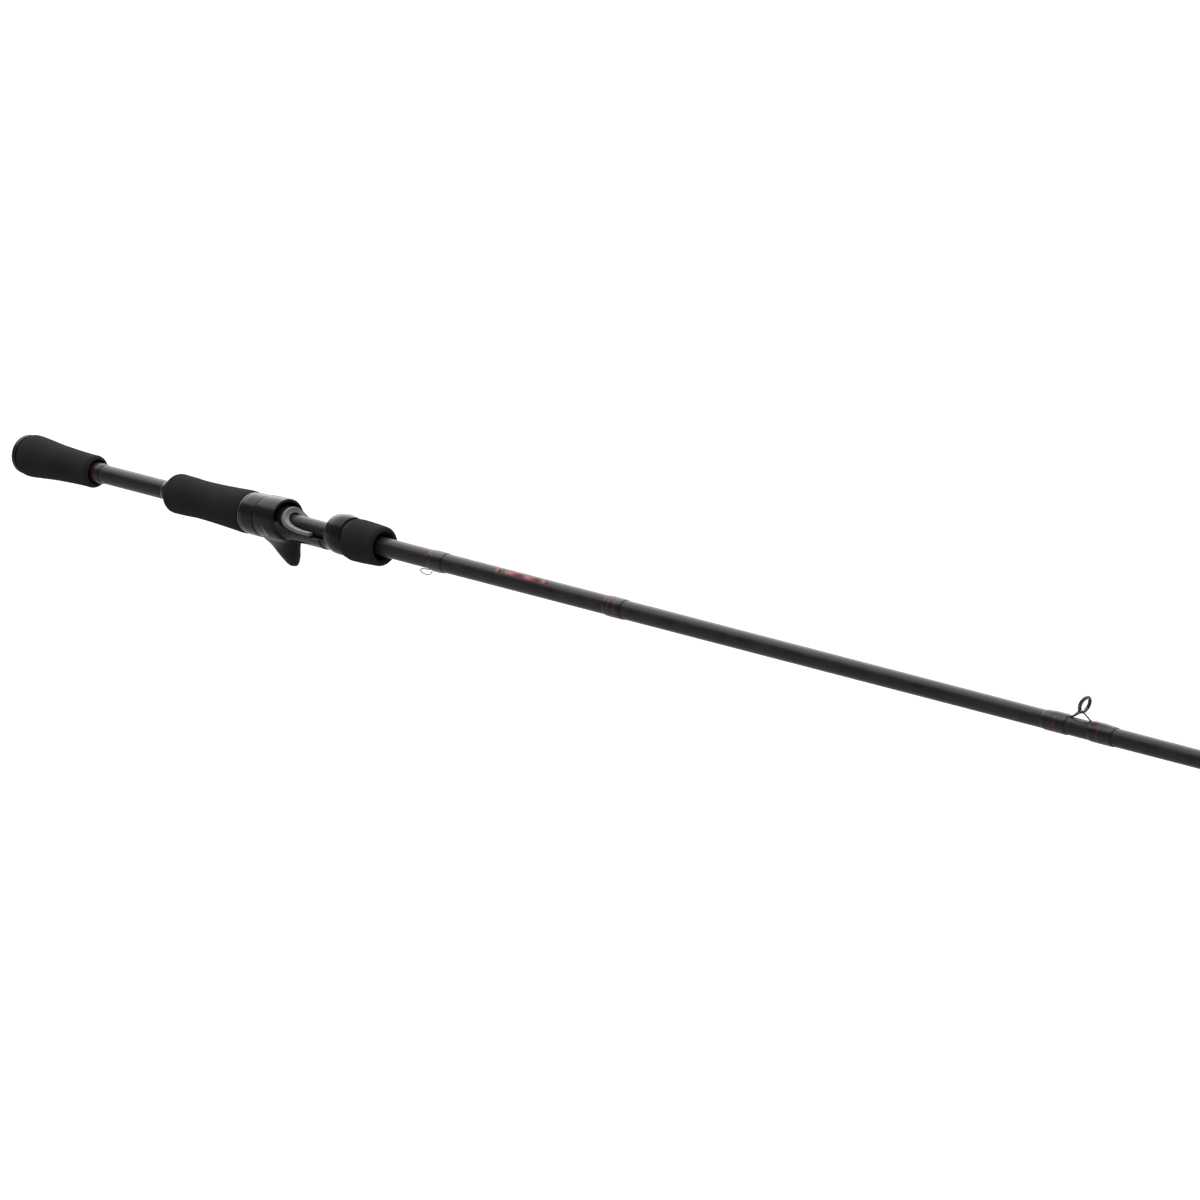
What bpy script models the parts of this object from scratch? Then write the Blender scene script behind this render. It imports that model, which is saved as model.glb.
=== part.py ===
"""A one-piece casting rod with a trigger reel seat, split foam grips and nine line guides.

The rod lies along +X, from the middle of the butt cap's end face at the origin to the tip. +Z is the side of
the guides and of the reel, and the trigger points down. All lengths are in metres.
"""

import math

import bmesh
import bpy
from mathutils import Matrix

# --- driving dimensions -------------------------------------------------------------------------------------

ROD_LENGTH = 2.134
BLANK_START = 0.0054
BLANK_END = 2.1285
BLANK_BUTT_RADIUS = 0.00572
BLANK_TIP_RADIUS = 0.00095
BLANK_TAPER_POWER = 1.8
BLANK_BUTT_BORE = 0.0046
BLANK_TIP_BORE = 0.0004
BLANK_STATIONS = 20

GAP = 0.0003  # between pieces that touch in the real rod
FIT = 0.0001  # between the blank and what is bound to it, facet on facet

BLANK_SIDES = 16
GRIP_SIDES = 28
SEAT_SIDES = 32

CAP_LENGTH = 0.0051
CAP_RADIUS = 0.0122

BUTT_GRIP_START = CAP_LENGTH + GAP
BUTT_GRIP_END = 0.0695
BUTT_GRIP_FLARE = 0.0129
BUTT_GRIP_NECK = 0.0100

REAR_RING_START = 0.1366
REAR_RING_LENGTH = 0.0007
REAR_CHECK_START = REAR_RING_START + REAR_RING_LENGTH + GAP
REAR_CHECK_LENGTH = 0.0042
REAR_GRIP_START = REAR_CHECK_START + REAR_CHECK_LENGTH + GAP
REAR_GRIP_END = 0.2128
REAR_GRIP_REAR = 0.0120
REAR_GRIP_WAIST = 0.0114
REAR_GRIP_FLARE = 0.0128
REAR_GRIP_MOUTH = 0.0123

TRIM_RING_LENGTH = 0.0007
SEAT_RING_START = REAR_GRIP_END + GAP
SEAT_START = SEAT_RING_START + TRIM_RING_LENGTH + GAP
HOOD_LIP = 0.2440  # front edge of the fixed hood
HOOD_LIFT = 0.0008  # the hood is turned about a line this far over the rod's axis
NOSE_REACH = 0.0032  # how far the barrel's nose stands out of the hood
SEAT_SHOULDER = 0.2820  # where the barrel steps down to the thread
THREAD_END = 0.3155
SEAT_BORE = 0.0063
BORE_STEP = 0.00015
BARREL_RADIUS = 0.0095  # what the reel's foot sits on
THREAD_RADIUS = 0.0092
POCKET_RADIUS = 0.0116
HOOD_POCKET_DEPTH = 0.0100
RAIL_END = 0.2730

SLIDE_LIP = 0.2875  # rear edge of the sliding hood
SLIDE_END = 0.3006
SLIDE_LIFT = 0.0013
SLIDE_POCKET_DEPTH = 0.0085
SLIDE_RING_START = SLIDE_END + GAP
NUT_START = SLIDE_RING_START + TRIM_RING_LENGTH + GAP
NUT_WALL_START = 0.3200
NUT_END = 0.3225
NUT_RADIUS = 0.0106
NUT_MOUTH = 0.0080
FOREGRIP_END = 0.3278
FOREGRIP_RADIUS = 0.0123

KEEPER_WIRE = 0.00036
KEEPER_LOOP_START = 0.3582
KEEPER_WRAP = (0.3690, 0.3812)
BUTT_WRAP = (0.0655, 0.0775)
TRIM_WRAP = (0.5105, 0.5245)

GUIDE_WIRE = 0.00046
GUIDE_TILT = math.radians(13)  # the rings lean forward
GUIDE_COVER = 0.00030  # thread and varnish over a guide's foot
RING_BORE = 0.65  # of the ring frame's outer radius
RING_WIDTH = 0.36
TIP_TOP_START = 2.1130


def blank_radius(station):
    """Outer radius of the tapered blank at a distance from the butt."""
    share = max(station, 0.0) / ROD_LENGTH
    drop = BLANK_BUTT_RADIUS - BLANK_TIP_RADIUS
    return BLANK_BUTT_RADIUS - drop * share**BLANK_TAPER_POWER


# --- scene ---------------------------------------------------------------------------------------------------

for old in list(bpy.data.objects):
    bpy.data.objects.remove(old, do_unlink=True)

PARTS = bpy.data.collections.new("casting_rod")
CUTTERS = bpy.data.collections.new("cutters")
bpy.context.scene.collection.children.link(PARTS)
bpy.context.scene.collection.children.link(CUTTERS)

ALONG_ROD = (0.0, math.pi / 2, 0.0)  # turns local Z, the axis of a turned shape, to +X
SIDE_VIEW = (math.pi / 2, 0.0, 0.0)  # local XY becomes XZ
END_VIEW = (math.pi / 2, 0.0, math.pi / 2)  # local XY becomes YZ


def material(name, colour, roughness, metallic=0.0):
    made = bpy.data.materials.new(name)
    made.use_nodes = True
    shader = made.node_tree.nodes["Principled BSDF"]
    shader.inputs["Base Color"].default_value = (*colour, 1.0)
    shader.inputs["Roughness"].default_value = roughness
    shader.inputs["Metallic"].default_value = metallic
    made.diffuse_color = (*colour, 1.0)
    return made


CARBON = material("carbon_blank", (0.035, 0.034, 0.036), 0.28)
FOAM = material("foam_grip", (0.018, 0.017, 0.018), 0.92)
CAP_RUBBER = material("cap_rubber", (0.020, 0.020, 0.021), 0.35)
SEAT_GLOSS = material("seat_gloss", (0.012, 0.012, 0.013), 0.12)
RAIL_GREY = material("rail_grey", (0.10, 0.095, 0.098), 0.45)
NUT_PLASTIC = material("nut_plastic", (0.015, 0.015, 0.016), 0.30)
SILVER = material("silver_trim", (0.55, 0.54, 0.53), 0.25, 1.0)
THREAD = material("wrap_thread", (0.010, 0.009, 0.010), 0.10)
GUIDE_METAL = material("guide_metal", (0.030, 0.030, 0.032), 0.22, 0.9)
CERAMIC = material("guide_ceramic", (0.045, 0.046, 0.050), 0.12)


def placed(name, data, rotation=(0.0, 0.0, 0.0), location=(0.0, 0.0, 0.0)):
    made = bpy.data.objects.new(name, data)
    made.rotation_euler = rotation
    made.location = location
    PARTS.objects.link(made)
    return made


def finished(made, look):
    """Gives a sub-part its material and smooth shading with crisp corners."""
    if made.type == "MESH":
        made.data.materials.clear()
        made.data.materials.append(look)
        made.data.shade_smooth()
        made.data.set_sharp_from_angle(angle=math.radians(40))
    return made


def boolean(target, tool, operation):
    """Joins or cuts a sub-part with a tool object, which becomes a hidden cutter."""
    PARTS.objects.unlink(tool)
    CUTTERS.objects.link(tool)
    tool.hide_render = True
    tool.display_type = "WIRE"
    step = target.modifiers.new(f"{operation.lower()}_{tool.name}"[:60], "BOOLEAN")
    step.operation = operation
    step.solver = "EXACT"
    step.object = tool
    return target


def turned(name, outer, inner=None, sides=SEAT_SIDES, lift=0.0):
    """A shape turned about a line along the rod. Outlines are (station, radius) points from butt to tip."""
    outline = [(radius, station) for station, radius in reversed(outer)]
    if inner:
        outline += [(radius, station) for station, radius in inner]
    else:
        outline = [(0.0, outline[0][1])] + outline + [(0.0, outline[-1][1])]
    data = bpy.data.meshes.new(name)
    count = len(outline)
    last = count if inner else count - 1
    edges = [(i, (i + 1) % count) for i in range(last)]
    data.from_pydata([(radius, 0.0, station) for radius, station in outline], edges, [])
    made = placed(name, data, ALONG_ROD, (0.0, 0.0, lift))
    screw = made.modifiers.new("turn", "SCREW")
    screw.axis = "Z"
    screw.steps = sides
    screw.render_steps = sides
    screw.use_merge_vertices = True
    screw.merge_threshold = 0.000001
    screw.use_smooth_shade = True
    return made


def rounded(start, end, radii, edge, steps=3):
    """An outer outline whose two ends are rounded: radii is (station, radius) points between the rounds."""
    first, last = radii[0][1], radii[-1][1]
    turn = [math.pi / 2 * i / steps for i in range(steps)]
    rear = [(start + edge * (1 - math.cos(a)), first - edge * (1 - math.sin(a))) for a in turn]
    front = [(end - edge * (1 - math.cos(a)), last - edge * (1 - math.sin(a))) for a in reversed(turn)]
    return rear + list(radii) + front


def mesh_from_curve(source):
    """Turns a curve object into a mesh object with its caps welded on."""
    graph = bpy.context.evaluated_depsgraph_get()
    data = bpy.data.meshes.new_from_object(source.evaluated_get(graph))
    shape = bmesh.new()
    shape.from_mesh(data)
    bmesh.ops.remove_doubles(shape, verts=shape.verts, dist=0.000001)
    bmesh.ops.recalc_face_normals(shape, faces=shape.faces)
    shape.to_mesh(data)
    shape.free()
    name = source.name
    matrix = source.matrix_world.copy()
    bpy.data.objects.remove(source, do_unlink=True)
    made = placed(name, data)
    made.matrix_world = matrix
    return made


def wire(name, points, radius, closed=False, resolution=1):
    """A bent round wire through the points."""
    data = bpy.data.curves.new(name, "CURVE")
    data.dimensions = "3D"
    data.bevel_depth = radius
    data.bevel_resolution = resolution
    data.use_fill_caps = not closed
    line = data.splines.new("POLY")
    line.points.add(len(points) - 1)
    for place, point in zip(line.points, points):
        place.co = (*point, 1.0)
    line.use_cyclic_u = closed
    made = placed(name, data)
    bpy.context.view_layer.update()
    return mesh_from_curve(made)


def plate(name, outline, thickness, rotation, location=(0.0, 0.0, 0.0)):
    """A flat outline with a thickness, centred on its own plane."""
    data = bpy.data.curves.new(name, "CURVE")
    data.dimensions = "2D"
    data.fill_mode = "BOTH"
    data.extrude = thickness / 2
    line = data.splines.new("POLY")
    line.points.add(len(outline) - 1)
    for place, (across, up) in zip(line.points, outline):
        place.co = (across, up, 0.0, 1.0)
    line.use_cyclic_u = True
    made = placed(name, data, rotation, location)
    bpy.context.view_layer.update()
    return mesh_from_curve(made)


def block(name, low, high):
    """A box between two corners."""
    data = bpy.data.meshes.new(name)
    shape = bmesh.new()
    size = [b - a for a, b in zip(low, high)]
    middle = [(a + b) / 2 for a, b in zip(low, high)]
    bmesh.ops.create_cube(shape, size=1.0, matrix=Matrix.Translation(middle) @ Matrix.Diagonal((*size, 1.0)))
    shape.to_mesh(data)
    shape.free()
    return placed(name, data)


def lofted(name, sections, corners=12):
    """A smooth form through level oblongs, each (station, level, half length, half width, roundness).

    A roundness of 1 is an ellipse, and a smaller one is nearer to a rectangle.
    """
    data = bpy.data.meshes.new(name)
    shape = bmesh.new()
    rings = []
    turns = [2 * math.pi * i / corners for i in range(corners)]
    spokes = [(math.cos(a), math.sin(a)) for a in turns]
    for station, level, half_length, half_width, roundness in sections:
        oblong = [[math.copysign(abs(c) ** roundness, c) for c in spoke] for spoke in spokes]
        places = [(station + half_length * x, half_width * y, level) for x, y in oblong]
        rings.append([shape.verts.new(place) for place in places])
    for lower, upper in zip(rings, rings[1:]):
        for i in range(corners):
            j = (i + 1) % corners
            shape.faces.new((lower[i], lower[j], upper[j], upper[i]))
    shape.faces.new(rings[0])
    shape.faces.new(rings[-1])
    bmesh.ops.recalc_face_normals(shape, faces=shape.faces)
    shape.to_mesh(data)
    shape.free()
    made = placed(name, data)
    smooth = made.modifiers.new("smooth", "SUBSURF")
    smooth.levels = 1
    smooth.render_levels = 1
    return made


def ring_sector(inner, outer, half_angle, steps=8):
    """An arch outline in the YZ plane, symmetric about +Z."""
    angles = [half_angle * (2 * i / steps - 1) for i in range(steps + 1)]
    over = [(outer * math.sin(a), outer * math.cos(a)) for a in angles]
    under = [(inner * math.sin(a), inner * math.cos(a)) for a in reversed(angles)]
    return over + under


# --- blank ---------------------------------------------------------------------------------------------------


def blank():
    step = (BLANK_END - BLANK_START) / BLANK_STATIONS
    stations = [BLANK_START + step * i for i in range(BLANK_STATIONS + 1)]
    outer = [(x, blank_radius(x)) for x in stations]
    inner = [(BLANK_START, BLANK_BUTT_BORE), (BLANK_END, BLANK_TIP_BORE)]
    finished(turned("blank", outer, inner, BLANK_SIDES), CARBON)


# --- butt ----------------------------------------------------------------------------------------------------


def butt_cap():
    round_off = 0.0026
    steps = 4
    turn = [math.pi / 2 * i / steps for i in range(steps + 1)]
    outer = [(round_off * (1 - math.cos(a)), CAP_RADIUS - round_off * (1 - math.sin(a))) for a in turn]
    outer.append((CAP_LENGTH - 0.0004, CAP_RADIUS))
    outer.append((CAP_LENGTH, CAP_RADIUS - 0.0004))
    finished(turned("butt_cap", outer, sides=GRIP_SIDES), CAP_RUBBER)


def grip_bore(start, end):
    """Straight bore of a grip that is glued on the blank."""
    bore = blank_radius(start) + GAP
    return [(start, bore), (end, bore)]


def butt_grip():
    length = BUTT_GRIP_END - BUTT_GRIP_START
    round_off = 0.0028
    fall = BUTT_GRIP_FLARE - BUTT_GRIP_NECK
    radii = [(BUTT_GRIP_START + round_off, BUTT_GRIP_FLARE)]
    for share, drop in ((0.11, 0.02), (0.26, 0.30), (0.45, 0.64), (0.66, 0.87), (0.84, 1.0)):
        radii.append((BUTT_GRIP_START + share * length, BUTT_GRIP_FLARE - drop * fall))
    radii.append((BUTT_GRIP_END - round_off, BUTT_GRIP_NECK))
    outer = rounded(BUTT_GRIP_START, BUTT_GRIP_END, radii, round_off)
    dish = 0.0073  # the front face is dished around the thread binding
    dish_depth = 0.0065
    inner = grip_bore(BUTT_GRIP_START, BUTT_GRIP_END - dish_depth)
    inner += [(BUTT_GRIP_END - dish_depth, dish - 0.0004), (BUTT_GRIP_END - 0.0004, dish)]
    finished(turned("butt_grip", outer, inner, GRIP_SIDES), FOAM)


# --- rear grip -----------------------------------------------------------------------------------------------


def check_ring(name, start, length, radii, inner_radius, look):
    """A turned trim ring, with its outer radius at each end."""
    chamfer = 0.0002
    rear, front = radii
    outer = [(start, rear - chamfer), (start + chamfer, rear), (start + length - chamfer, front)]
    outer.append((start + length, front - chamfer))
    inner = [(start, inner_radius), (start + length, inner_radius)]
    finished(turned(name, outer, inner, GRIP_SIDES), look)


def rear_grip():
    length = REAR_GRIP_END - REAR_GRIP_START
    round_off = 0.0050
    rear_fall = REAR_GRIP_REAR - REAR_GRIP_WAIST
    front_rise = REAR_GRIP_FLARE - REAR_GRIP_WAIST
    steps = 4
    turn = [math.pi / 2 * i / steps for i in range(steps)]
    outer = []
    for a in turn:
        back, down = round_off * (1 - math.cos(a)), round_off * (1 - math.sin(a))
        outer.append((REAR_GRIP_START + back, REAR_GRIP_REAR - down))
    outer.append((REAR_GRIP_START + round_off, REAR_GRIP_REAR))
    for share, drop in ((0.22, 0.35), (0.36, 1.0)):
        outer.append((REAR_GRIP_START + share * length, REAR_GRIP_REAR - drop * rear_fall))
    for share, rise in ((0.58, 0.20), (0.78, 0.60)):
        outer.append((REAR_GRIP_START + share * length, REAR_GRIP_WAIST + rise * front_rise))
    outer.append((REAR_GRIP_END - 0.0030, REAR_GRIP_FLARE))
    outer.append((REAR_GRIP_END, REAR_GRIP_MOUTH))
    finished(turned("rear_grip", outer, grip_bore(REAR_GRIP_START, REAR_GRIP_END), GRIP_SIDES), FOAM)


# --- reel seat -----------------------------------------------------------------------------------------------


def deck_outline(forward, lift, top=0.020, front=SLIDE_LIP + 0.0140):
    """Side view of what is cut away above the deck: a hollow curve from the lip down to level rails."""
    lip = HOOD_LIP + forward
    level = lift - 0.0025
    sweep = 0.0215  # length of the hollow curve
    drop = 0.0116
    steps = 8
    curve = []
    for i in range(steps + 1):
        a = math.pi / 2 * i / steps
        curve.append((lip + sweep * (1 - math.cos(a)) ** 1.25, level + drop * (1 - math.sin(a)) ** 1.25))
    return [(lip, top)] + curve + [(front, level), (front, top)]


def seat_shell():
    """Collar and lower half of the barrel, up to the shoulder."""
    groove = SEAT_START + 0.0128
    outer = [
        (SEAT_START, 0.0119),
        (SEAT_START + 0.0005, 0.0122),
        (SEAT_START + 0.0040, 0.0126),
        (groove - 0.0006, 0.0125),
        (groove, 0.0121),
        (HOOD_LIP - 0.0140, 0.0120),
        (HOOD_LIP - 0.0050, 0.0117),
        (HOOD_LIP + 0.0040, 0.0110),
        (HOOD_LIP + 0.0120, 0.0103),
        (HOOD_LIP + 0.0220, 0.0100),
        (SEAT_SHOULDER - 0.0006, 0.0100),
        (SEAT_SHOULDER, 0.0096),
    ]
    inner = [(SEAT_START, SEAT_BORE + BORE_STEP), (SEAT_SHOULDER, SEAT_BORE + BORE_STEP)]
    return turned("reel_seat", outer, inner)


def fixed_hood():
    """The hood that holds the rear of the reel's foot, swept down into the rails."""
    start = SEAT_START + 0.0132
    outer = [
        (start, 0.0120),
        (start + 0.0008, 0.0124),
        (HOOD_LIP - 0.0080, 0.0127),
        (HOOD_LIP - 0.0010, 0.0127),
        (HOOD_LIP + 0.0006, 0.0125),
        (HOOD_LIP + 0.0060, 0.0118),
        (HOOD_LIP + 0.0120, 0.0108),
        (HOOD_LIP + 0.0200, 0.0096),
    ]
    inner = [(start, 0.0080), (HOOD_LIP + 0.0200, 0.0080)]
    return turned("fixed_hood", outer, inner, lift=HOOD_LIFT)


def pocket(name, lip, depth, reach, half_angle):
    """What a hood is hollowed by, so that an end of the reel's foot fits under it."""
    length = depth + abs(reach)
    middle = lip - depth / 2 + reach / 2 if reach > 0 else lip + depth / 2 + reach / 2
    arch = ring_sector(BARREL_RADIUS - 0.0002, POCKET_RADIUS, half_angle)
    return plate(name, arch, length, END_VIEW, (middle, 0.0, 0.0))


def sleeve(name, start, end, radius):
    """A plain tube of the seat's own bore."""
    return turned(name, [(start, radius), (end, radius)], [(start, SEAT_BORE), (end, SEAT_BORE)])


def trigger():
    """The finger trigger. It hugs the sides of the barrel and narrows to a round tip."""
    root = HOOD_LIP - 0.0065
    sections = [
        (root + 0.0002, 0.0046, 0.0076, 0.0106, 0.50),
        (root, 0.0022, 0.0080, 0.0121, 0.40),
        (root + 0.0024, -0.0014, 0.0082, 0.0127, 0.40),
        (root + 0.0050, -0.0050, 0.0089, 0.0121, 0.45),
        (root + 0.0056, -0.0080, 0.0096, 0.0104, 0.55),
        (root + 0.0018, -0.0108, 0.0132, 0.0078, 0.75),
        (root + 0.0049, -0.0150, 0.0106, 0.0053, 0.80),
        (root + 0.0082, -0.0198, 0.0073, 0.0045, 0.80),
        (root + 0.0106, -0.0236, 0.0042, 0.0034, 0.90),
        (root + 0.0118, -0.0259, 0.0019, 0.0017, 1.00),
    ]
    fin = lofted("trigger", sections)
    core = BARREL_RADIUS - 0.0012
    clearing = turned("trigger_bore", [(HOOD_LIP - 0.03, core), (HOOD_LIP + 0.03, core)])
    return boolean(fin, clearing, "DIFFERENCE")


def reel_seat():
    seat = seat_shell()
    boolean(seat, fixed_hood(), "UNION")
    boolean(seat, trigger(), "UNION")
    boolean(seat, plate("deck_cut", deck_outline(0.0, 0.0), 0.06, SIDE_VIEW), "DIFFERENCE")
    boolean(seat, pocket("hood_pocket", HOOD_LIP, HOOD_POCKET_DEPTH, 0.012, math.radians(78)), "DIFFERENCE")
    nose = sleeve("barrel_nose", HOOD_LIP - HOOD_POCKET_DEPTH - 0.002, RAIL_END, BARREL_RADIUS - 0.00015)
    boolean(nose, plate("nose_cut", deck_outline(NOSE_REACH, -0.00015), 0.06, SIDE_VIEW), "DIFFERENCE")
    boolean(seat, nose, "UNION")
    tube = sleeve("thread_tube", SEAT_SHOULDER - 0.002, THREAD_END, THREAD_RADIUS)
    opening = deck_outline(0.0, -0.0003, front=SLIDE_LIP + 0.0008)
    boolean(tube, plate("tube_cut", opening, 0.06, SIDE_VIEW), "DIFFERENCE")
    boolean(seat, tube, "UNION")
    finished(seat, SEAT_GLOSS)


def foot_rail():
    """Grey rail that the reel's foot rests on: an arch over the blank with two level arms."""
    under = deck_outline(NOSE_REACH + GAP, GAP)
    over = deck_outline(NOSE_REACH + GAP + 0.0014, GAP + 0.0021)
    strip = under[1:-2] + [(RAIL_END, under[-2][1]), (RAIL_END, over[-2][1])] + list(reversed(over[1:-2]))
    start, end = HOOD_LIP - 0.001, RAIL_END + 0.005
    bore = SEAT_BORE + 0.0001
    rail = turned("foot_rail", [(start, BARREL_RADIUS), (end, BARREL_RADIUS)], [(start, bore), (end, bore)])
    boolean(rail, plate("rail_strip", strip, 0.06, SIDE_VIEW), "INTERSECT")
    finished(rail, RAIL_GREY)


def sliding_hood():
    """Ring that slides on the thread, with a humped hood over its pocket. Its outside is off the axis."""
    length = SLIDE_END - SLIDE_LIP
    outline = [(0.0, 0.0107), (0.10, 0.0112), (0.32, 0.0118), (0.55, 0.0120), (0.80, 0.0117), (1.0, 0.0111)]
    outer = [(SLIDE_LIP + share * length, radius) for share, radius in outline]
    hood = turned("sliding_hood", outer, lift=SLIDE_LIFT)
    sliding_bore = THREAD_RADIUS + GAP
    bore = turned("slide_bore", [(SLIDE_LIP - 0.002, sliding_bore), (SLIDE_END + 0.002, sliding_bore)])
    boolean(hood, bore, "DIFFERENCE")
    hollow = pocket("slide_pocket", SLIDE_LIP, SLIDE_POCKET_DEPTH, -0.002, math.radians(62))
    boolean(hood, hollow, "DIFFERENCE")
    finished(hood, SEAT_GLOSS)


def lock_nut():
    bore = THREAD_RADIUS + GAP
    flange = 0.0010
    outer = [(NUT_START, NUT_RADIUS + 0.0006), (NUT_START + flange, NUT_RADIUS + 0.0006)]
    outer += [(NUT_START + flange, NUT_RADIUS), (NUT_END, NUT_RADIUS)]
    inner = [(NUT_START, bore), (NUT_WALL_START, bore), (NUT_WALL_START, NUT_MOUTH), (NUT_END, NUT_MOUTH)]
    finished(turned("lock_nut", outer, inner, GRIP_SIDES), NUT_PLASTIC)


def foregrip():
    start = NUT_START + 0.0010 + GAP
    seat_radius = NUT_RADIUS + GAP
    radii = [
        (start + 0.0022, FOREGRIP_RADIUS),
        (start + 0.0070, FOREGRIP_RADIUS),
        (start + 0.0150, FOREGRIP_RADIUS - 0.0003),
        (FOREGRIP_END - 0.0024, FOREGRIP_RADIUS - 0.0007),
    ]
    outer = rounded(start, FOREGRIP_END, radii, 0.0024)
    outer[0] = (start, seat_radius + 0.0003)
    inner = [(start, seat_radius), (NUT_END + GAP, seat_radius), (NUT_END + GAP, NUT_MOUTH - 0.0004)]
    inner.append((FOREGRIP_END - 0.0010, NUT_MOUTH))
    finished(turned("foregrip", outer, inner, GRIP_SIDES), FOAM)


# --- thread bindings and hook keeper ---------------------------------------------------------------------------


def binding(name, start, end, cover=0.00038, foot=None, open_end=1):
    """Varnished thread bound round the blank.

    foot is (half width, height over the blank, side) of what it binds, which enters at open_end: 1 for the
    tip's side and -1 for the butt's.
    """
    ends = 0.0022
    rear, front = blank_radius(start), blank_radius(end)
    height = cover + (foot[1] if foot else 0.0)
    outer = [
        (start, rear + FIT + 0.00012),
        (start + ends, blank_radius(start + ends) + FIT + height),
        (end - ends, blank_radius(end - ends) + FIT + height),
        (end, front + FIT + 0.00012),
    ]
    inner = [(start, rear + FIT), (end, front + FIT)]
    made = turned(name, outer, inner, BLANK_SIDES)
    if foot:
        half_width, thickness, side = foot
        half = half_width + FIT
        reach = rear + FIT + thickness + FIT
        low = [start - 0.001, -half, min(0.0, side * reach)]
        high = [end + 0.001, half, max(0.0, side * reach)]
        if open_end > 0:
            low[0] = start + ends
        else:
            high[0] = end - ends
        boolean(made, block(name + "_slot", low, high), "DIFFERENCE")
    finished(made, THREAD)


def hook_keeper():
    """A small wire loop under the blank, its long end bound under the thread."""
    under = -(blank_radius(KEEPER_WRAP[0]) + FIT + KEEPER_WIRE)
    half_length = 0.0043
    half_height = 0.00155
    sag = 0.0005
    middle = KEEPER_LOOP_START + half_length
    points = [(KEEPER_WRAP[1] - 0.0050, 0.0, under), (KEEPER_WRAP[0] - 0.0008, 0.0, under)]
    steps = 9
    first, last = math.radians(80), math.radians(335)
    for i in range(steps + 1):
        a = first + (last - first) * i / steps
        drop = sag + half_height * (1 - math.sin(a))
        points.append((middle + half_length * math.cos(a), 0.0, under - drop))
    points.append((KEEPER_WRAP[0] - 0.0009, 0.0, under - 2 * KEEPER_WIRE - GAP))
    finished(wire("hook_keeper", points, KEEPER_WIRE), GUIDE_METAL)


# --- guides ----------------------------------------------------------------------------------------------------


def ring_frame(name, station, height, radius, thickness, tilt=0.0):
    bpy.ops.mesh.primitive_torus_add(
        major_radius=radius,
        minor_radius=thickness,
        major_segments=16,
        minor_segments=6,
        location=(station, 0.0, height),
        rotation=(0.0, ALONG_ROD[1] + tilt, 0.0),
    )
    torus = bpy.context.object
    torus.name = name
    for owner in list(torus.users_collection):
        owner.objects.unlink(torus)
    PARTS.objects.link(torus)
    return torus


def guide_ring(name, station, height, outer_radius, inner_radius, width, tilt=0.0):
    """The ceramic ring inside a guide's frame."""
    half = width / 2
    round_off = (outer_radius - inner_radius) * 0.45
    outer = [(-half + round_off, outer_radius), (half - round_off, outer_radius)]
    inner = [(-half, (outer_radius + inner_radius) / 2), (-half + round_off, inner_radius)]
    inner += [(half - round_off, inner_radius), (half, (outer_radius + inner_radius) / 2)]
    made = turned(name, outer, inner, BLANK_SIDES)
    made.location = (station, 0.0, height)
    made.rotation_euler.y += tilt
    finished(made, CERAMIC)


def tongue(name, start, end, half_width, thickness):
    """A flat foot lying on top of the blank."""
    low = (start, -half_width, blank_radius(min(start, end)) + FIT)
    high = (end, half_width, low[2] + thickness)
    return block(name, low, high)


def guide(number, station, ring_radius, height, two_feet):
    """A guide: ring frame on wire legs, one or two feet bound to the blank, and a ceramic ring."""
    name = f"guide_{number}"
    thin = ring_radius * 0.145
    frame_radius = ring_radius - thin
    frame = ring_frame(name + "_frame", station, height, frame_radius, thin, GUIDE_TILT)
    foot_half = 0.0012 if two_feet else 0.0009
    foot_thick = 0.00040
    leg = height * 0.60
    front_leg = leg * 0.5
    foot = height * 1.2 if two_feet else 0.0095
    wire_radius = GUIDE_WIRE if two_feet else GUIDE_WIRE * 0.8
    base = blank_radius(station - leg) + FIT + wire_radius
    low_side = frame_radius * math.sin(math.radians(52))
    low_drop = frame_radius * math.cos(math.radians(52))
    lean, rise = math.sin(GUIDE_TILT), math.cos(GUIDE_TILT)
    forked = -1 if two_feet else 1
    for side in (-1, 1):
        top = (station - low_drop * lean, side * low_side, height - low_drop * rise)
        bottom = (station + forked * leg, side * foot_half * 0.55, base)
        inward = (bottom[0] + forked * 0.0012, bottom[1], base)
        boolean(frame, wire(f"{name}_leg_{side + 1}", [top, bottom, inward], wire_radius), "UNION")
    ends = [forked * (leg + foot), forked * leg]
    rear = tongue(f"{name}_foot", station + min(ends), station + max(ends), foot_half, foot_thick)
    boolean(frame, rear, "UNION")
    if two_feet:
        top = (station - frame_radius * lean, 0.0, height - frame_radius * rise)
        bottom = (station + front_leg, 0.0, base)
        inward = (bottom[0] + 0.0012, 0.0, base)
        boolean(frame, wire(f"{name}_front_leg", [top, bottom, inward], wire_radius), "UNION")
        front_foot = station + front_leg
        front = tongue(f"{name}_front_foot", front_foot, front_foot + foot, foot_half, foot_thick)
        boolean(frame, front, "UNION")
    finished(frame, GUIDE_METAL)
    ring_outer = frame_radius - thin - FIT
    ring_bore, ring_width = ring_radius * RING_BORE, ring_radius * RING_WIDTH
    guide_ring(name + "_ring", station, height, ring_outer, ring_bore, ring_width, GUIDE_TILT)
    foot_size = (foot_half, foot_thick + FIT, 1)
    margin = 0.0014
    if two_feet:
        rear_end = station - leg - margin
        binding(name + "_rear_wrap", rear_end - foot - 0.0008, rear_end, GUIDE_COVER, foot_size)
        start = station + front_leg + margin
    else:
        start = station + leg + margin
    binding(name + "_front_wrap", start, start + foot + 0.0008, GUIDE_COVER, foot_size, -1)


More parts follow.
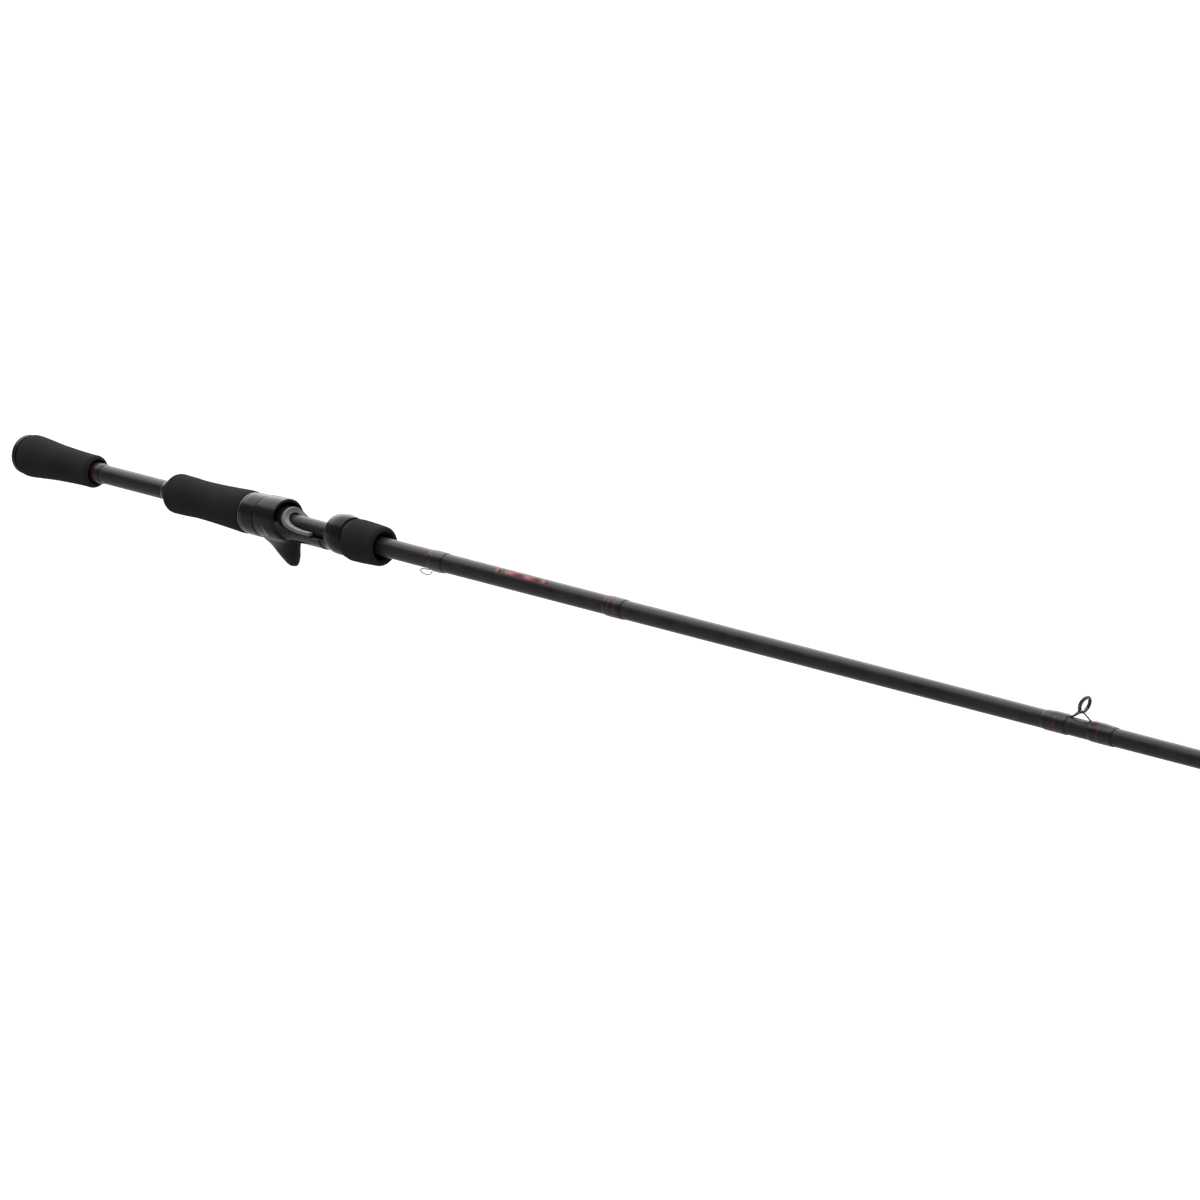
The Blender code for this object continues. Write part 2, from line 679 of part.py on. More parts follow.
# distance from the tip, ring radius and height over the axis, from the butt's guide to the tip's
GUIDES = [
    (1.2814, 0.00495, 0.0129, True),
    (1.0668, 0.00420, 0.0112, True),
    (0.8763, 0.00370, 0.0098, True),
    (0.6922, 0.00330, 0.0082, False),
    (0.5207, 0.00320, 0.0075, False),
    (0.3683, 0.00310, 0.0069, False),
    (0.2286, 0.00300, 0.0063, False),
    (0.1080, 0.00300, 0.0060, False),
]


def tip_top():
    """Tube on the blank's end with a small ring frame, its ring and its binding."""
    bore = blank_radius(TIP_TOP_START) + FIT
    tube = turned(
        "tip_frame",
        [(TIP_TOP_START, bore + 0.00030), (ROD_LENGTH - 0.0045, bore + 0.00030)],
        [(TIP_TOP_START, bore), (ROD_LENGTH - 0.0045, bore)],
        BLANK_SIDES,
    )
    radius = 0.0026
    thin = 0.00038
    station = ROD_LENGTH - 0.0004 - thin
    height = 0.0040
    boolean(tube, ring_frame("tip_loop", station, height, radius - thin, thin), "UNION")
    start = ROD_LENGTH - 0.0085
    for side in (-1, 1):
        points = [
            (start, side * (bore + 0.00020), 0.0),
            (start + 0.0030, side * (bore + 0.00035), 0.0004),
            (station, side * (radius - thin) * 0.92, height - (radius - thin) * 0.40),
        ]
        boolean(tube, wire(f"tip_leg_{side + 1}", points, 0.00034), "UNION")
    finished(tube, GUIDE_METAL)
    guide_ring("tip_ring", station, height, radius - 2 * thin - FIT, 0.00125, 0.0010)
    binding("tip_wrap", TIP_TOP_START - 0.0092, TIP_TOP_START - 0.0004, 0.00030)


# --- assembly --------------------------------------------------------------------------------------------------

blank()
butt_cap()
butt_grip()
binding("butt_wrap", *BUTT_WRAP)
check_bore = blank_radius(REAR_RING_START) + GAP
check_ring("rear_ring", REAR_RING_START, REAR_RING_LENGTH, (0.0065, 0.0065), check_bore, SILVER)
check_ring("rear_check", REAR_CHECK_START, REAR_CHECK_LENGTH, (0.0067, 0.0072), check_bore, NUT_PLASTIC)
rear_grip()
check_ring("seat_ring", SEAT_RING_START, TRIM_RING_LENGTH, (0.0121, 0.0121), 0.0066, SILVER)
reel_seat()
foot_rail()
sliding_hood()
slide_bore = THREAD_RADIUS + GAP
check_ring("slide_ring", SLIDE_RING_START, TRIM_RING_LENGTH, (0.0114, 0.0114), slide_bore, NUT_PLASTIC)
lock_nut()
foregrip()
hook_keeper()
binding("keeper_wrap", *KEEPER_WRAP, 0.0003, (KEEPER_WIRE, 2 * KEEPER_WIRE, -1), -1)
binding("trim_wrap", *TRIM_WRAP)
for index, (from_tip, ring, rise, double) in enumerate(GUIDES):
    guide(len(GUIDES) - index, ROD_LENGTH - from_tip, ring, rise, double)
tip_top()
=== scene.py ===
import math

import bmesh
import bpy
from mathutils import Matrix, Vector


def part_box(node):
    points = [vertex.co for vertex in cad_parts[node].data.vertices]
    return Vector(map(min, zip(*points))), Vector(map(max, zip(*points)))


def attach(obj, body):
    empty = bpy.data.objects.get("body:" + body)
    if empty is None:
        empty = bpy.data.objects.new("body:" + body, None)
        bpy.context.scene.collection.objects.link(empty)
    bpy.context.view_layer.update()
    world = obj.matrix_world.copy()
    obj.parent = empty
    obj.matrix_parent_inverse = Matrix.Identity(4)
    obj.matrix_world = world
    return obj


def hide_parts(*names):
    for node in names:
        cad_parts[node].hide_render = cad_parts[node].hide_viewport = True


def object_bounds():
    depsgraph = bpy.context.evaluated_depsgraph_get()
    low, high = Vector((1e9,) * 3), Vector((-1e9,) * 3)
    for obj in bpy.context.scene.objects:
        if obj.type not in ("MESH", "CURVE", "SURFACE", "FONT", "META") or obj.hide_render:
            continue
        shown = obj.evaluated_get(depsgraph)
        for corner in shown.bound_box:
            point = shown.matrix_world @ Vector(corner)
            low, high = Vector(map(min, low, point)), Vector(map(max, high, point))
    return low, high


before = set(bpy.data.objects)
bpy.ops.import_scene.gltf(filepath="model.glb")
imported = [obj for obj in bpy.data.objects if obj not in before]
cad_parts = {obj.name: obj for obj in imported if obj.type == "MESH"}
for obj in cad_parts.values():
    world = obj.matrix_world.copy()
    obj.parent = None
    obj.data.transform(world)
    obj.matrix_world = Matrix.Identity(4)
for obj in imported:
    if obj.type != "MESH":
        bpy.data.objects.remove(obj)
cad_low, cad_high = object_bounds()

# --- sizes, in metres, in the row frame: +X along the rod, +Z up ----------------------------------

FIT = 0.0001  # clearance under threads, feet and ceramic rings
GAP = 0.0003  # clearance between pieces that touch on a real rod
SKIN = 0.00003  # how far paint or a band of thread stands out
SOFT_EDGE = 0.0003  # rounding of a crisp edge
CUT_REACH = 0.03  # how far a cutting slab reaches to each side of the rod

BLANK_BUTT_RADIUS = 0.00572
BLANK_TIP_RADIUS = 0.00095
BLANK_TAPER_POWER = 1.8
DESIGN_LENGTH = 2.134

THREAD_PITCH = 0.00022  # one turn of binding thread
WRAP_COVER = 0.00034  # thread and varnish over the blank, on the plain bindings
KEEPER_COVER = 0.00030
GUIDE_COVER = 0.00028
TIP_COVER = 0.00025
WRAP_SLOPE = 0.0016  # length of a binding's sloping end
FIBRE_PITCH = 0.0030  # the carbon cloth's repeat along the blank
FIBRE_STARTS = 12  # and the number of its repeats round the blank

FINE_SIDES = 96
SEAT_SIDES = 128
TUBE_SIDES = 48
WRAP_SIDES = 72
WIRE_SIDES = 12
LOOP_STEPS = 64

SEAT_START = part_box("reel_seat")[0].x
SEAT_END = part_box("reel_seat")[1].x
SEAT_BORE = 0.0063
SEAT_WAIST = 0.0120  # radius in the groove between the collar and the fixed hood
BARREL_RADIUS = 0.0095
THREAD_RADIUS = 0.0092
POCKET_ROOF = 0.0116  # outer radius of the pockets that take a reel's foot
POCKET_FLOOR = BARREL_RADIUS - 0.0002
FIXED_POCKET_HALF = math.radians(78)  # half of the arc that the fixed hood's pocket spans
SLIDE_POCKET_HALF = math.radians(62)
HOOD_LIFT = 0.0008  # how far the fixed hood stands above the rod's line
SLIDE_LIFT = 0.0013  # and the sliding hood
NOSE_REACH = 0.0032  # how far the barrel's nose comes out from under the fixed hood
HOOD_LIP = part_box("foot_rail")[0].x - NOSE_REACH - GAP
SEAT_SHOULDER = HOOD_LIP + 0.0380
SLIDE_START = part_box("sliding_hood")[0].x
NUT_RADIUS = 0.0106
NUT_MOUTH = 0.0080

GUIDE_TILT = math.radians(13)  # the rings lean forward
RING_THIN = 0.145  # a ring frame's wire radius, of its outer radius
RING_BORE = 0.65  # the ceramic's bore, of the frame's outer radius
RING_WIDTH = 0.36  # and its width along the rod
TIP_RING_BORE = 0.73  # the same for the tip's ring, of the ceramic's outer radius
TIP_RING_WIDTH = 0.59
LEG_SPREAD = math.radians(52)  # from straight down, where the side legs leave the ring
FOOT_THICKNESS = 0.00040


def blank_radius(station):
    """Outer radius of the tapered blank at a distance from the butt."""
    share = min(max(station, 0.0) / DESIGN_LENGTH, 1.0)
    return BLANK_BUTT_RADIUS - (BLANK_BUTT_RADIUS - BLANK_TIP_RADIUS) * share**BLANK_TAPER_POWER


# --- materials ------------------------------------------------------------------------------------


def add(tree, kind, inputs=None, **settings):
    """A node with its settings, and its inputs set or linked."""
    made = tree.nodes.new("ShaderNode" + kind)
    for key, value in settings.items():
        setattr(made, key, value)
    for key, value in (inputs or {}).items():
        if isinstance(value, bpy.types.NodeSocket):
            tree.links.new(value, made.inputs[key])
        else:
            made.inputs[key].default_value = value
    return made


def new_look(name, metallic=0.0, coat=0.0, coat_roughness=0.1, specular=0.5):
    """A material and its Principled shader, whose even values are set here."""
    look = bpy.data.materials.new(name)
    look.use_nodes = True
    shader = look.node_tree.nodes["Principled BSDF"]
    shader.inputs["Metallic"].default_value = metallic
    shader.inputs["Coat Weight"].default_value = coat
    shader.inputs["Coat Roughness"].default_value = coat_roughness
    shader.inputs["Specular IOR Level"].default_value = specular
    return look, look.node_tree, shader


def place_of(tree):
    """The place on the piece, in metres."""
    return add(tree, "TexCoord").outputs["Object"]


def noise(tree, scale, detail, stretch=(1.0, 1.0, 1.0)):
    """Noise over the piece. scale is in cycles per metre, and a stretch under 1 draws it out."""
    vector = add(tree, "Mapping", {"Vector": place_of(tree), "Scale": stretch}).outputs["Vector"]
    return add(tree, "TexNoise", {"Vector": vector, "Scale": scale, "Detail": detail}).outputs["Fac"]


def math_of(tree, operation, first, second=0.0):
    """The result of one sum on numbers or sockets."""
    return add(tree, "Math", {0: first, 1: second}, operation=operation).outputs[0]


def blend(tree, *parts):
    """The sum of (value, weight) parts."""
    weighed = [math_of(tree, "MULTIPLY", value, weight) for value, weight in parts]
    total = weighed[0]
    for part in weighed[1:]:
        total = math_of(tree, "ADD", total, part)
    return total


def ramp(tree, value, stops):
    """Colours between stops of (position, colour)."""
    made = add(tree, "ValToRGB", {"Fac": value})
    band = made.color_ramp
    while len(band.elements) < len(stops):
        band.elements.new(0.5)
    for element, (position, colour) in zip(band.elements, stops):
        element.position = position
        element.color = (*colour, 1.0)
    return made.outputs["Color"]


def spread(tree, value, low, high):
    """A value from 0 to 1, spread from low to high."""
    return add(tree, "MapRange", {"Value": value, "To Min": low, "To Max": high}).outputs["Result"]


def bump(tree, shader, height, distance, strength):
    """Relief from a height of 0 to 1, distance deep."""
    made = add(tree, "Bump", {"Height": height, "Distance": distance, "Strength": strength})
    tree.links.new(made.outputs["Normal"], shader.inputs["Normal"])


def link(tree, socket, shader, name):
    """Feeds a socket to the shader's input of that name."""
    tree.links.new(socket, shader.inputs[name])


def along_and_around(tree):
    """The distance along the rod, and the turn round it from -0.5 to 0.5."""
    parts = add(tree, "SeparateXYZ", {0: place_of(tree)}).outputs
    angle = math_of(tree, "ARCTAN2", parts["Y"], parts["Z"])
    return parts["X"], math_of(tree, "DIVIDE", angle, 2 * math.pi)


def foam():
    """Closed-cell foam: fine open pores, faintly dusty, with worn patches."""
    look, tree, shader = new_look("foam", specular=0.015)
    cells = add(tree, "TexVoronoi", {"Vector": place_of(tree), "Scale": 2600.0}).outputs["Distance"]
    grain = noise(tree, 5200.0, 3.0)
    worn = noise(tree, 45.0, 5.0)
    tone = blend(tree, (grain, 0.55), (worn, 0.45))
    colours = [(0.30, (0.0100, 0.0091, 0.0095)), (0.70, (0.0172, 0.0158, 0.0166))]
    link(tree, ramp(tree, tone, colours), shader, "Base Color")
    link(tree, spread(tree, worn, 0.78, 0.97), shader, "Roughness")
    pores = math_of(tree, "ADD", cells, math_of(tree, "MULTIPLY", grain, 0.5))
    bump(tree, shader, pores, 0.00012, 0.8)
    return look


def moulded(name, colour, roughness, coat=0.0, grain=0.00001):
    """Moulded plastic: a slight orange peel, grain deep, with fine scratches in its gloss."""
    look, tree, shader = new_look(name, coat=coat, coat_roughness=0.08, specular=0.07)
    peel = noise(tree, 700.0, 2.0)
    scratches = noise(tree, 900.0, 6.0, (0.15, 1.0, 1.0))
    dark = tuple(0.75 * c for c in colour)
    link(tree, ramp(tree, noise(tree, 120.0, 6.0), [(0.30, dark), (0.70, colour)]), shader, "Base Color")
    link(tree, spread(tree, scratches, roughness * 0.75, roughness * 1.35), shader, "Roughness")
    bump(tree, shader, peel, grain, 0.6)
    return look


def carbon():
    """Rolled carbon cloth under thin varnish: two sets of fibres that cross at a slant."""
    look, tree, shader = new_look("carbon", coat=0.03, coat_roughness=0.15, specular=0.065)
    along, turn = along_and_around(tree)
    lay = math_of(tree, "MULTIPLY", along, 2 * math.pi / FIBRE_PITCH)
    twist = math_of(tree, "MULTIPLY", turn, 2 * math.pi * FIBRE_STARTS)
    one = math_of(tree, "SINE", math_of(tree, "ADD", lay, twist))
    other = math_of(tree, "SINE", math_of(tree, "SUBTRACT", lay, twist))
    weave = spread(tree, math_of(tree, "MULTIPLY", one, other), 0.25, 0.75)
    fibres = noise(tree, 900.0, 8.0, (0.08, 1.0, 1.0))
    cloudy = noise(tree, 110.0, 5.0)
    tone = blend(tree, (weave, 0.18), (fibres, 0.35), (cloudy, 0.47))
    colours = [(0.25, (0.0066, 0.0057, 0.0061)), (0.75, (0.0215, 0.0186, 0.0198))]
    link(tree, ramp(tree, tone, colours), shader, "Base Color")
    link(tree, spread(tree, tone, 0.16, 0.58), shader, "Roughness")
    bump(tree, shader, fibres, 0.00002, 0.5)
    return look


def bound_thread(name, low, high, metallic=0.0):
    """Thread wound turn by turn, in colours from low to high, under a coat of clear epoxy."""
    look, tree, shader = new_look(name, metallic=metallic, coat=0.12, coat_roughness=0.06, specular=0.08)
    along, turn = along_and_around(tree)
    wound = math_of(tree, "ADD", math_of(tree, "DIVIDE", along, THREAD_PITCH), turn)
    strand = math_of(tree, "SINE", math_of(tree, "MULTIPLY", wound, 2 * math.pi))
    strand = spread(tree, strand, 0.0, 1.0)
    twist = noise(tree, 3000.0, 4.0)
    tone = blend(tree, (strand, 0.6), (twist, 0.4))
    link(tree, ramp(tree, tone, [(0.25, low), (0.80, high)]), shader, "Base Color")
    link(tree, spread(tree, twist, 0.30, 0.50), shader, "Roughness")
    bump(tree, shader, strand, 0.00003, 0.5)
    return look


def turned_metal(name, colour, roughness, coat=0.0):
    """Metal with fine marks round it from the lathe."""
    look, tree, shader = new_look(name, metallic=1.0, coat=coat)
    rings = noise(tree, 2500.0, 5.0, (1.0, 0.04, 0.04))
    dark = tuple(0.7 * c for c in colour)
    link(tree, ramp(tree, rings, [(0.30, dark), (0.70, colour)]), shader, "Base Color")
    link(tree, spread(tree, rings, roughness * 0.7, roughness * 1.4), shader, "Roughness")
    bump(tree, shader, rings, 0.000006, 0.6)
    return look


def plain_floor():
    """A matt pale floor, very slightly clouded."""
    look, tree, shader = new_look("pale_floor", specular=0.1)
    greys = [(0.0, (0.39, 0.39, 0.39)), (1.0, (0.41, 0.41, 0.41))]
    link(tree, ramp(tree, noise(tree, 0.4, 2.0), greys), shader, "Base Color")
    shader.inputs["Roughness"].default_value = 0.9
    return look


FOAM = foam()
CAP_RUBBER = moulded("cap_rubber", (0.0080, 0.0078, 0.0080), 0.34, grain=0.00003)
SEAT_GLOSS = moulded("seat_gloss", (0.0075, 0.0070, 0.0074), 0.20)
RAIL_GREY = moulded("rail_grey", (0.125, 0.118, 0.123), 0.50, grain=0.00004)
NUT_PLASTIC = moulded("nut_plastic", (0.0075, 0.0072, 0.0075), 0.30)
CERAMIC = moulded("ceramic", (0.022, 0.022, 0.025), 0.12, coat=0.4)
CARBON = carbon()
BLACK_THREAD = bound_thread("black_thread", (0.0040, 0.0034, 0.0038), (0.0110, 0.0096, 0.0104))
RED_THREAD = bound_thread("red_thread", (0.045, 0.003, 0.008), (0.150, 0.009, 0.022), 0.2)
RED_PAINT = moulded("red_paint", (0.150, 0.014, 0.020), 0.40)
SILVER = turned_metal("silver", (0.150, 0.145, 0.148), 0.34)
DARK_METAL = turned_metal("dark_metal", (0.050, 0.049, 0.052), 0.18, coat=0.3)
BRIGHT_WIRE = turned_metal("bright_wire", (0.260, 0.255, 0.260), 0.25)


# --- shaping --------------------------------------------------------------------------------------


def new_piece(name, data):
    """An object in the scene for a mesh or a camera."""
    made = bpy.data.objects.new(name, data)
    bpy.context.scene.collection.objects.link(made)
    return made


def show(piece, look, nodes=(), body="rod"):
    """Gives a piece its material, its body and the CAD nodes that it stands for."""
    piece.data.materials.clear()
    piece.data.materials.append(look)
    for face in piece.data.polygons:
        face.use_smooth = True
    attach(piece, body)
    if nodes:
        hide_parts(*nodes)
    return piece


def turns(count):
    """Even angles round a full turn."""
    return [2 * math.pi * i / count for i in range(count)]


def squared_off(value, power):
    """A sine or a cosine to a power, with its sign kept. A power under 1 makes a circle squarer."""
    return math.copysign(abs(value) ** power, value)


def flowing(points, steps=6):
    """A smooth line through points of any number of measures, such as (station, radius)."""
    line = []
    padded = [points[0]] + list(points) + [points[-1]]
    for before, start, end, after in zip(padded, padded[1:], padded[2:], padded[3:]):
        for i in range(steps):
            t = i / steps
            place = []
            for a, b, c, d in zip(before, start, end, after):
                bend = (2 * a - 5 * b + 4 * c - d) * t + (3 * b - a - 3 * c + d) * t * t
                place.append(b + 0.5 * t * (c - a + bend))
            line.append(tuple(place))
    return line + [tuple(points[-1])]


def corner(station, radius, along, inward, steps=5):
    """A rounded edge at an end: along is the round's length, positive at the butt's end."""
    quarter = [math.pi / 2 * i / steps for i in range(steps + 1)]
    arc = [(station + along * (1 - math.cos(a)), radius - inward * (1 - math.sin(a))) for a in quarter]
    return arc if along > 0 else list(reversed(arc))


def swept(name, rows, around, closed_line):
    """A skin over rows of points. around closes each row, and closed_line joins the last row to the first.

    Without closed_line the first and the last row are capped.
    """
    data = bpy.data.meshes.new(name)
    shape = bmesh.new()
    grid = [[shape.verts.new(p) for p in row] for row in rows]
    across = len(grid[0])
    count = len(grid)
    for i in range(count if closed_line else count - 1):
        this, following = grid[i], grid[(i + 1) % count]
        for j in range(across if around else across - 1):
            k = (j + 1) % across
            shape.faces.new((this[j], this[k], following[k], following[j]))
    if not closed_line:
        shape.faces.new(grid[0])
        shape.faces.new(grid[-1])
    bmesh.ops.recalc_face_normals(shape, faces=shape.faces)
    shape.to_mesh(data)
    shape.free()
    return new_piece(name, data)


def lathe(name, outer, inner=None, sides=FINE_SIDES, lift=0.0):
    """A shape turned about a line along the rod. Outlines are (station, radius) points from butt to tip."""
    line = list(outer) + (list(reversed(inner)) if inner else [])
    rows = []
    for station, radius in line:
        rows.append([(station, radius * math.sin(a), lift + radius * math.cos(a)) for a in turns(sides)])
    return swept(name, rows, True, inner is not None)


def slab(name, outline, low, high, view):
    """A prism: its outline in the XZ plane, low to high along Y ("side"), or in YZ along X ("end")."""
    if view == "side":
        rows = [[(x, depth, z) for x, z in outline] for depth in (low, high)]
    else:
        rows = [[(depth, y, z) for y, z in outline] for depth in (low, high)]
    return swept(name, rows, True, False)


def settle(piece):
    """Applies a piece's modifiers."""
    graph = bpy.context.evaluated_depsgraph_get()
    graph.update()
    data = bpy.data.meshes.new_from_object(piece.evaluated_get(graph))
    piece.modifiers.clear()
    piece.data = data
    return piece


def boolean(target, tool, operation):
    """Combines a piece with a tool, which is then gone."""
    made = target.modifiers.new(operation.lower(), "BOOLEAN")
    made.operation = operation
    made.solver = "EXACT"
    made.object = tool
    settle(target)
    bpy.data.objects.remove(tool, do_unlink=True)
    return target


def melted(piece, voxel, rounds, keep):
    """Fuses a piece into one skin with soft moulded edges, and keeps a share of its faces."""
    skin = piece.modifiers.new("skin", "REMESH")
    skin.mode = "VOXEL"
    skin.voxel_size = voxel
    skin.use_smooth_shade = True
    soft = piece.modifiers.new("soft", "SMOOTH")
    soft.factor = 0.5
    soft.iterations = rounds
    thin = piece.modifiers.new("thin", "DECIMATE")
    thin.ratio = keep
    return settle(piece)


def tube_along(name, points, radius):
    """A round wire through points, in a smooth line, with blunt rounded ends."""
    line = [Vector(p) for p in flowing(points, 5)]
    nose, nose_size = 0.6, 0.45  # length and end of the rounding, of the wire's radius
    rows = []
    across = None
    count = len(line)
    for i, place in enumerate(line):
        ahead = (line[min(i + 1, count - 1)] - line[max(i - 1, 0)]).normalized()
        across = ahead.orthogonal() if across is None else across - ahead * across.dot(ahead)
        across.normalize()
        other = ahead.cross(across)
        ring = [(across * math.cos(a) + other * math.sin(a)) * radius for a in turns(WIRE_SIDES)]
        sections = [(place, 1.0)]  # centre, and size of the wire's
        if i == 0:
            sections.insert(0, (place - ahead * radius * nose, nose_size))
        if i == count - 1:
            sections.append((place + ahead * radius * nose, nose_size))
        rows += [[centre + spoke * share for spoke in ring] for centre, share in sections]
    return swept(name, rows, True, False)


def leaned(station, height, along, across, up, tilt):
    """A point of a ring that leans forward, from its place in the ring's own frame."""
    x = station + along * math.cos(tilt) + up * math.sin(tilt)
    z = height + up * math.cos(tilt) - along * math.sin(tilt)
    return x, across, z


def hoop(name, station, height, section, steps, tilt):
    """A ring that stands across the rod. section is the (radius, along) points of its cross-section."""
    rows = []
    for a in turns(steps):
        rows.append([leaned(station, height, x, r * math.sin(a), r * math.cos(a), tilt) for r, x in section])
    return swept(name, rows, True, True)


def wire_loop(name, station, height, radius, thickness, tilt=0.0):
    """A wire ring. radius is to the wire's middle, and thickness is the wire's own radius."""
    section = [(radius + thickness * math.cos(b), thickness * math.sin(b)) for b in turns(WIRE_SIDES)]
    return hoop(name, station, height, section, LOOP_STEPS, tilt)


# --- butt and grips -------------------------------------------------------------------------------


def butt_cap():
    """Rubber cap, with a shallow moulded ring in its end."""
    low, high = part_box("butt_cap")
    radius = high.y
    round_off = 0.0026
    outer = [(low.x, radius * 0.10), (low.x + 0.0001, radius * 0.30), (low.x, radius * 0.34)]
    outer += corner(low.x, radius, round_off, round_off, 8)
    outer += corner(high.x, radius, -SOFT_EDGE, SOFT_EDGE, 3)
    show(lathe("butt_cap.fine", outer), CAP_RUBBER, ["butt_cap"])


def padded_grip(name, outer, inner, body="rod"):
    """A turned foam grip."""
    piece = show(lathe(name + ".fine", outer, inner), FOAM, [name], body)


def butt_grip():
    """Foam grip, wide at the butt, with a dished mouth where the blank comes out."""
    low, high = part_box("butt_grip")
    length = high.x - low.x
    flare, neck = high.y, 0.0100
    round_off = 0.0028
    slope = ((0.11, 0.02), (0.26, 0.30), (0.45, 0.64), (0.66, 0.87), (0.84, 1.0))  # of length, of narrowing
    middle = [(low.x + round_off, flare)]
    middle += [(low.x + share * length, flare - drop * (flare - neck)) for share, drop in slope]
    middle.append((high.x - round_off, neck))
    outer = corner(low.x, flare, round_off, round_off)[:-1] + flowing(middle)
    outer += corner(high.x, neck, -round_off, round_off)[1:]
    outer = [(x, min(radius, flare)) for x, radius in outer]
    dish, dish_depth = 0.0073, 0.0065
    dish_floor = high.x - dish_depth
    bore = blank_radius(low.x) + GAP
    inner = [(low.x, bore), (dish_floor, bore), (dish_floor, dish - 0.0006)]
    inner += [(dish_floor + 0.0006, dish - 0.0001), (high.x - 0.0004, dish)]
    padded_grip("butt_grip", outer, inner)


def rear_grip():
    """Foam grip behind the seat: domed at the rear, waisted, and widest just short of the seat."""
    low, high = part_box("rear_grip")
    length = high.x - low.x
    rear, waist, flare, front = 0.0120, 0.0114, high.y, 0.0123
    dome = 0.0050
    narrowing, widening = ((0.22, 0.35), (0.36, 1.0)), ((0.58, 0.20), (0.78, 0.60))
    middle = [(low.x + dome, rear)]
    middle += [(low.x + share * length, rear - drop * (rear - waist)) for share, drop in narrowing]
    middle += [(low.x + share * length, waist + rise * (flare - waist)) for share, rise in widening]
    middle += [(high.x - 0.0030, flare), (high.x, front)]
    outer = corner(low.x, rear, dome, dome, 9)[:-1] + flowing(middle)
    bore = blank_radius(low.x) + GAP
    padded_grip("rear_grip", outer, [(low.x, bore), (high.x, bore)])


def thin_ring(node, look, body="rod"):
    """A trim ring with soft edges, of the bore that its CAD node has."""
    low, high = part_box(node)
    inner = min(math.hypot(v.co.y, v.co.z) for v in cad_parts[node].data.vertices)
    edge = 0.0002
    outer = corner(low.x, high.y, edge, edge, 3) + corner(high.x, high.y, -edge, edge, 3)
    show(lathe(node + ".fine", outer, [(low.x, inner), (high.x, inner)]), look, [node], body)


def rear_collar():
    """Black collar behind the rear grip, a little narrower at its rear."""
    low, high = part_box("rear_check")
    bore = blank_radius(low.x) + GAP
    rear = high.y - 0.0005
    outer = corner(low.x, rear, SOFT_EDGE, SOFT_EDGE, 3) + corner(high.x, high.y, -SOFT_EDGE, SOFT_EDGE, 3)
    collar = lathe("rear_check.fine", outer, [(low.x, bore), (high.x, bore)])
    show(collar, NUT_PLASTIC, ["rear_check"])


# --- reel seat ------------------------------------------------------------------------------------


def deck_outline(forward, lift, front):
    """Side view of what is open above the deck: a hollow curve from the hood's lip down to level rails.

    forward and lift move it along the rod and up, and front is where it ends.
    """
    lip = HOOD_LIP + forward
    level = lift - 0.0025
    top = 0.020  # well over the hoods
    sweep, drop, hollow = 0.0215, 0.0116, 1.25  # the curve's length, its height and how far it sags
    steps = 20
    curve = []
    for i in range(steps + 1):
        a = math.pi / 2 * i / steps
        curve.append((lip + sweep * (1 - math.cos(a)) ** hollow, level + drop * (1 - math.sin(a)) ** hollow))
    return [(lip, top)] + curve + [(front, level), (front, top)]


def arch(inner, outer, half_angle):
    """An arch outline in the YZ plane, symmetric about +Z."""
    steps = 32
    angles = [half_angle * (2 * i / steps - 1) for i in range(steps + 1)]
    over = [(outer * math.sin(a), outer * math.cos(a)) for a in angles]
    under = [(inner * math.sin(a), inner * math.cos(a)) for a in reversed(angles)]
    return over + under


def cut_deck(piece, forward, lift, front):
    """Cuts away what is above the deck."""
    outline = deck_outline(forward, lift, front)
    return boolean(piece, slab("deck", outline, -CUT_REACH, CUT_REACH, "side"), "DIFFERENCE")


def seat_shell():
    """The seat's outside, turned: its collar, a groove, and a body that tapers to the thread's shoulder."""
    groove = SEAT_START + 0.0128
    outer = corner(SEAT_START, 0.0121, 0.0004, 0.0003, 3)
    collar = [(SEAT_START + 0.0010, 0.0123), (SEAT_START + 0.0040, 0.0126), (groove - 0.0006, 0.0125)]
    outer += flowing(collar)
    outer.append((groove, SEAT_WAIST))
    body = [(0.0140, 0.0120), (0.0050, 0.0117), (-0.0040, 0.0110), (-0.0120, 0.0103), (-0.0220, 0.0100)]
    outer += flowing([(HOOD_LIP - back, radius) for back, radius in body])
    outer += [(SEAT_SHOULDER - 0.0006, 0.0100), (SEAT_SHOULDER, 0.0096)]
    return lathe("seat_shell", outer, [(SEAT_START, SEAT_BORE), (SEAT_SHOULDER, SEAT_BORE)], SEAT_SIDES)


def fixed_hood():
    """The hood over the rear of a reel's foot, and the slope that the deck is cut from ahead of it."""
    start = SEAT_START + 0.0132
    bore = 0.0080
    rim = [(-0.0080, 0.0127), (-0.0010, 0.0127), (0.0006, 0.0125)]  # ahead of the lip, radius
    rim += [(0.0060, 0.0118), (0.0120, 0.0108), (0.0200, 0.0096)]
    outer = [(start, SEAT_WAIST)] + flowing([(start + 0.0008, 0.0124)] + [(HOOD_LIP + x, r) for x, r in rim])
    end = HOOD_LIP + rim[-1][0]
    return lathe("fixed_hood", outer, [(start, bore), (end, bore)], SEAT_SIDES, HOOD_LIFT)


